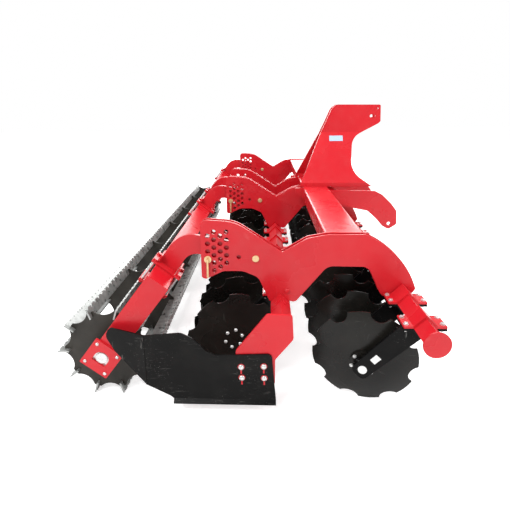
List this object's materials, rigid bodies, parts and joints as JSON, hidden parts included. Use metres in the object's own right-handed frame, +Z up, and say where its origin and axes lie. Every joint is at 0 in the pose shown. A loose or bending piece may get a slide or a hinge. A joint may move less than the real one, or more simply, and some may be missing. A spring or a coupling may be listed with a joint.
{
  "type": "mounted disc harrow",
  "caption": "Tractor-mounted compact disc harrow: two rows of notched discs on angled arms, arched plate frame, three-point headstock and a toothed-bar packer roller",
  "frame": {"origin": "on the ground, midway along the machine and on its centre plane", "axes": "+X forward to the tractor, +Y to the machine's left, +Z up"},
  "size_m": [2.1113, 4.576, 1.4619],
  "materials": {
    "red_paint": "gloss",
    "black_paint": "satin",
    "bright_steel": "satin",
    "pale_metal": "satin",
    "zinc_yellow": "satin"
  },
  "bodies": {
    "frame": {"frame_plates_outer": "red_paint", "frame_plates_inner": "red_paint", "front_beam": "red_paint", "front_tube": "red_paint", "rear_tube": "red_paint", "tube_end_caps": "red_paint", "front_arms": "black_paint", "rear_arms": "black_paint", "front_clamps": "red_paint", "rear_clamps": "red_paint", "headstock_mast": "red_paint", "lower_hitch": "red_paint", "mast_feet": "red_paint", "deflector_bracket": "red_paint", "side_deflector": "black_paint", "pivot_pins": "zinc_yellow", "depth_pins": "zinc_yellow"},
    "roller_frame": {"roller_arms": "red_paint", "roller_crossbeam": "red_paint", "roller_side_arms": "red_paint", "roller_bearing_plates": "red_paint", "roller_bearings": "pale_metal"},
    "roller": {"roller_shaft": "black_paint", "roller_rings": "black_paint", "roller_bars": "bright_steel"},
    "disc_front_01": {"disc_front_01": "black_paint"},
    "disc_front_02": {"disc_front_02": "black_paint"},
    "disc_front_03": {"disc_front_03": "black_paint"},
    "disc_front_04": {"disc_front_04": "black_paint"},
    "disc_front_05": {"disc_front_05": "black_paint"},
    "disc_front_06": {"disc_front_06": "black_paint"},
    "disc_front_07": {"disc_front_07": "black_paint"},
    "disc_front_08": {"disc_front_08": "black_paint"},
    "disc_front_09": {"disc_front_09": "black_paint"},
    "disc_front_10": {"disc_front_10": "black_paint"},
    "disc_front_11": {"disc_front_11": "black_paint"},
    "disc_front_12": {"disc_front_12": "black_paint"},
    "disc_front_13": {"disc_front_13": "black_paint"},
    "disc_front_14": {"disc_front_14": "black_paint"},
    "disc_front_15": {"disc_front_15": "black_paint"},
    "disc_front_16": {"disc_front_16": "black_paint"},
    "disc_rear_01": {"disc_rear_01": "black_paint"},
    "disc_rear_02": {"disc_rear_02": "black_paint"},
    "disc_rear_03": {"disc_rear_03": "black_paint"},
    "disc_rear_04": {"disc_rear_04": "black_paint"},
    "disc_rear_05": {"disc_rear_05": "black_paint"},
    "disc_rear_06": {"disc_rear_06": "black_paint"},
    "disc_rear_07": {"disc_rear_07": "black_paint"},
    "disc_rear_08": {"disc_rear_08": "black_paint"},
    "disc_rear_09": {"disc_rear_09": "black_paint"},
    "disc_rear_10": {"disc_rear_10": "black_paint"},
    "disc_rear_11": {"disc_rear_11": "black_paint"},
    "disc_rear_12": {"disc_rear_12": "black_paint"},
    "disc_rear_13": {"disc_rear_13": "black_paint"},
    "disc_rear_14": {"disc_rear_14": "black_paint"},
    "disc_rear_15": {"disc_rear_15": "black_paint"},
    "disc_rear_16": {"disc_rear_16": "black_paint"}
  },
  "joints": [
    {"name": "roller_depth", "type": "hinge", "parent": "frame", "child": "roller_frame", "pos_m": [-0.034, 0, 0.702], "axis": [0, 1, 0], "range_deg": [0, 12]},
    {"name": "roller_spin", "type": "hinge", "parent": "roller_frame", "child": "roller", "pos_m": [-0.806, 0, 0.239], "axis": [0, 1, 0], "continuous": true},
    {"name": "disc_front_01_spin", "type": "hinge", "parent": "frame", "child": "disc_front_01", "pos_m": [0.501, -1.9375, 0.25335], "axis": [0.2563, 0.9565, 0.1392], "continuous": true},
    {"name": "disc_front_02_spin", "type": "hinge", "parent": "frame", "child": "disc_front_02", "pos_m": [0.501, -1.6875, 0.25335], "axis": [0.2563, 0.9565, 0.1392], "continuous": true},
    {"name": "disc_front_03_spin", "type": "hinge", "parent": "frame", "child": "disc_front_03", "pos_m": [0.501, -1.4375, 0.25335], "axis": [0.2563, 0.9565, 0.1392], "continuous": true},
    {"name": "disc_front_04_spin", "type": "hinge", "parent": "frame", "child": "disc_front_04", "pos_m": [0.501, -1.1875, 0.25335], "axis": [0.2563, 0.9565, 0.1392], "continuous": true},
    {"name": "disc_front_05_spin", "type": "hinge", "parent": "frame", "child": "disc_front_05", "pos_m": [0.501, -0.9375, 0.25335], "axis": [0.2563, 0.9565, 0.1392], "continuous": true},
    {"name": "disc_front_06_spin", "type": "hinge", "parent": "frame", "child": "disc_front_06", "pos_m": [0.501, -0.6875, 0.25335], "axis": [0.2563, 0.9565, 0.1392], "continuous": true},
    {"name": "disc_front_07_spin", "type": "hinge", "parent": "frame", "child": "disc_front_07", "pos_m": [0.501, -0.4375, 0.25335], "axis": [0.2563, 0.9565, 0.1392], "continuous": true},
    {"name": "disc_front_08_spin", "type": "hinge", "parent": "frame", "child": "disc_front_08", "pos_m": [0.501, -0.1875, 0.25335], "axis": [0.2563, 0.9565, 0.1392], "continuous": true},
    {"name": "disc_front_09_spin", "type": "hinge", "parent": "frame", "child": "disc_front_09", "pos_m": [0.501, 0.0625, 0.25335], "axis": [0.2563, 0.9565, 0.1392], "continuous": true},
    {"name": "disc_front_10_spin", "type": "hinge", "parent": "frame", "child": "disc_front_10", "pos_m": [0.501, 0.3125, 0.25335], "axis": [0.2563, 0.9565, 0.1392], "continuous": true},
    {"name": "disc_front_11_spin", "type": "hinge", "parent": "frame", "child": "disc_front_11", "pos_m": [0.501, 0.5625, 0.25335], "axis": [0.2563, 0.9565, 0.1392], "continuous": true},
    {"name": "disc_front_12_spin", "type": "hinge", "parent": "frame", "child": "disc_front_12", "pos_m": [0.501, 0.8125, 0.25335], "axis": [0.2563, 0.9565, 0.1392], "continuous": true},
    {"name": "disc_front_13_spin", "type": "hinge", "parent": "frame", "child": "disc_front_13", "pos_m": [0.501, 1.0625, 0.25335], "axis": [0.2563, 0.9565, 0.1392], "continuous": true},
    {"name": "disc_front_14_spin", "type": "hinge", "parent": "frame", "child": "disc_front_14", "pos_m": [0.501, 1.3125, 0.25335], "axis": [0.2563, 0.9565, 0.1392], "continuous": true},
    {"name": "disc_front_15_spin", "type": "hinge", "parent": "frame", "child": "disc_front_15", "pos_m": [0.501, 1.5625, 0.25335], "axis": [0.2563, 0.9565, 0.1392], "continuous": true},
    {"name": "disc_front_16_spin", "type": "hinge", "parent": "frame", "child": "disc_front_16", "pos_m": [0.501, 1.8125, 0.25335], "axis": [0.2563, 0.9565, 0.1392], "continuous": true},
    {"name": "disc_rear_01_spin", "type": "hinge", "parent": "frame", "child": "disc_rear_01", "pos_m": [-0.143, -1.8125, 0.25335], "axis": [0.2563, -0.9565, 0.1392], "continuous": true},
    {"name": "disc_rear_02_spin", "type": "hinge", "parent": "frame", "child": "disc_rear_02", "pos_m": [-0.143, -1.5625, 0.25335], "axis": [0.2563, -0.9565, 0.1392], "continuous": true},
    {"name": "disc_rear_03_spin", "type": "hinge", "parent": "frame", "child": "disc_rear_03", "pos_m": [-0.143, -1.3125, 0.25335], "axis": [0.2563, -0.9565, 0.1392], "continuous": true},
    {"name": "disc_rear_04_spin", "type": "hinge", "parent": "frame", "child": "disc_rear_04", "pos_m": [-0.143, -1.0625, 0.25335], "axis": [0.2563, -0.9565, 0.1392], "continuous": true},
    {"name": "disc_rear_05_spin", "type": "hinge", "parent": "frame", "child": "disc_rear_05", "pos_m": [-0.143, -0.8125, 0.25335], "axis": [0.2563, -0.9565, 0.1392], "continuous": true},
    {"name": "disc_rear_06_spin", "type": "hinge", "parent": "frame", "child": "disc_rear_06", "pos_m": [-0.143, -0.5625, 0.25335], "axis": [0.2563, -0.9565, 0.1392], "continuous": true},
    {"name": "disc_rear_07_spin", "type": "hinge", "parent": "frame", "child": "disc_rear_07", "pos_m": [-0.143, -0.3125, 0.25335], "axis": [0.2563, -0.9565, 0.1392], "continuous": true},
    {"name": "disc_rear_08_spin", "type": "hinge", "parent": "frame", "child": "disc_rear_08", "pos_m": [-0.143, -0.0625, 0.25335], "axis": [0.2563, -0.9565, 0.1392], "continuous": true},
    {"name": "disc_rear_09_spin", "type": "hinge", "parent": "frame", "child": "disc_rear_09", "pos_m": [-0.143, 0.1875, 0.25335], "axis": [0.2563, -0.9565, 0.1392], "continuous": true},
    {"name": "disc_rear_10_spin", "type": "hinge", "parent": "frame", "child": "disc_rear_10", "pos_m": [-0.143, 0.4375, 0.25335], "axis": [0.2563, -0.9565, 0.1392], "continuous": true},
    {"name": "disc_rear_11_spin", "type": "hinge", "parent": "frame", "child": "disc_rear_11", "pos_m": [-0.143, 0.6875, 0.25335], "axis": [0.2563, -0.9565, 0.1392], "continuous": true},
    {"name": "disc_rear_12_spin", "type": "hinge", "parent": "frame", "child": "disc_rear_12", "pos_m": [-0.143, 0.9375, 0.25335], "axis": [0.2563, -0.9565, 0.1392], "continuous": true},
    {"name": "disc_rear_13_spin", "type": "hinge", "parent": "frame", "child": "disc_rear_13", "pos_m": [-0.143, 1.1875, 0.25335], "axis": [0.2563, -0.9565, 0.1392], "continuous": true},
    {"name": "disc_rear_14_spin", "type": "hinge", "parent": "frame", "child": "disc_rear_14", "pos_m": [-0.143, 1.4375, 0.25335], "axis": [0.2563, -0.9565, 0.1392], "continuous": true},
    {"name": "disc_rear_15_spin", "type": "hinge", "parent": "frame", "child": "disc_rear_15", "pos_m": [-0.143, 1.6875, 0.25335], "axis": [0.2563, -0.9565, 0.1392], "continuous": true},
    {"name": "disc_rear_16_spin", "type": "hinge", "parent": "frame", "child": "disc_rear_16", "pos_m": [-0.143, 1.9375, 0.25335], "axis": [0.2563, -0.9565, 0.1392], "continuous": true}
  ]
}
